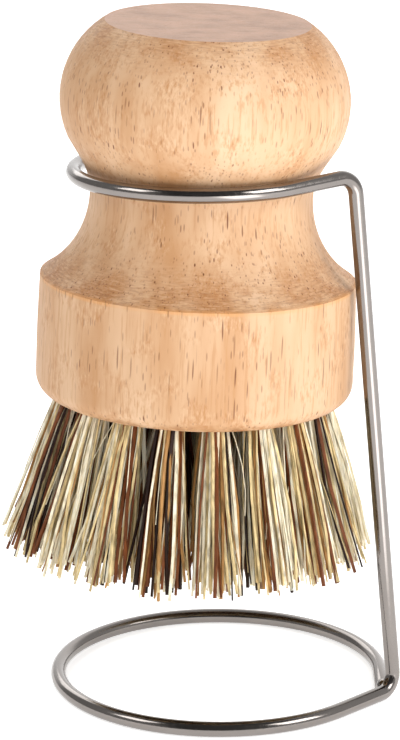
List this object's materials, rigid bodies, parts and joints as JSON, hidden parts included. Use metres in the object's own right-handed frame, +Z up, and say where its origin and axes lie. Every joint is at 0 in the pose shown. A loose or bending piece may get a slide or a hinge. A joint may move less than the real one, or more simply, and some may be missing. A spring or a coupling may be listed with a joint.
{
  "type": "palm brush with wire stand",
  "caption": "Turned wooden palm brush with flared tufts of mixed plant fibre, hanging by its knob in a bent wire stand with a closed base ring and an open upper ring.",
  "frame": {"origin": "middle of the base ring, on the surface that the stand rests on", "axes": "+Z up, +X to the right toward the post, -Y toward the front, where the upper ring crosses the neck"},
  "size_m": [0.0633, 0.0586, 0.1076],
  "materials": {
    "turned_wood": "bare sanded",
    "stainless_wire": "polished",
    "anchor_plate": "plain",
    "cream_fibre": "matt",
    "brown_fibre": "matt"
  },
  "bodies": {
    "stand": {"wire_stand": "stainless_wire"},
    "brush": {"handle_knob": "turned_wood", "handle_drum": "turned_wood", "anchor_plates_center": "anchor_plate", "anchor_plates_inner": "anchor_plate", "anchor_plates_middle": "anchor_plate", "anchor_plates_outer": "anchor_plate", "tuft_center": "cream_fibre", "tuft_inner_1": "brown_fibre", "tuft_inner_2": "cream_fibre", "tuft_inner_3": "cream_fibre", "tuft_inner_4": "brown_fibre", "tuft_inner_5": "cream_fibre", "tuft_inner_6": "cream_fibre", "tuft_middle_1": "cream_fibre", "tuft_middle_2": "cream_fibre", "tuft_middle_3": "brown_fibre", "tuft_middle_4": "cream_fibre", "tuft_middle_5": "cream_fibre", "tuft_middle_6": "brown_fibre", "tuft_middle_7": "cream_fibre", "tuft_middle_8": "cream_fibre", "tuft_middle_9": "brown_fibre", "tuft_middle_10": "cream_fibre", "tuft_middle_11": "cream_fibre", "tuft_middle_12": "brown_fibre", "tuft_outer_1": "cream_fibre", "tuft_outer_2": "brown_fibre", "tuft_outer_3": "cream_fibre", "tuft_outer_4": "cream_fibre", "tuft_outer_5": "brown_fibre", "tuft_outer_6": "cream_fibre", "tuft_outer_7": "cream_fibre", "tuft_outer_8": "brown_fibre", "tuft_outer_9": "cream_fibre", "tuft_outer_10": "cream_fibre", "tuft_outer_11": "brown_fibre", "tuft_outer_12": "cream_fibre", "tuft_outer_13": "cream_fibre", "tuft_outer_14": "brown_fibre", "tuft_outer_15": "cream_fibre", "tuft_outer_16": "cream_fibre", "tuft_outer_17": "brown_fibre", "tuft_outer_18": "cream_fibre"}
  },
  "joints": [
    {"name": "lift_out", "type": "slide", "parent": "stand", "child": "brush", "axis": [0.2315, 0.864, 0.4472], "range_m": [0, 0.09]}
  ]
}
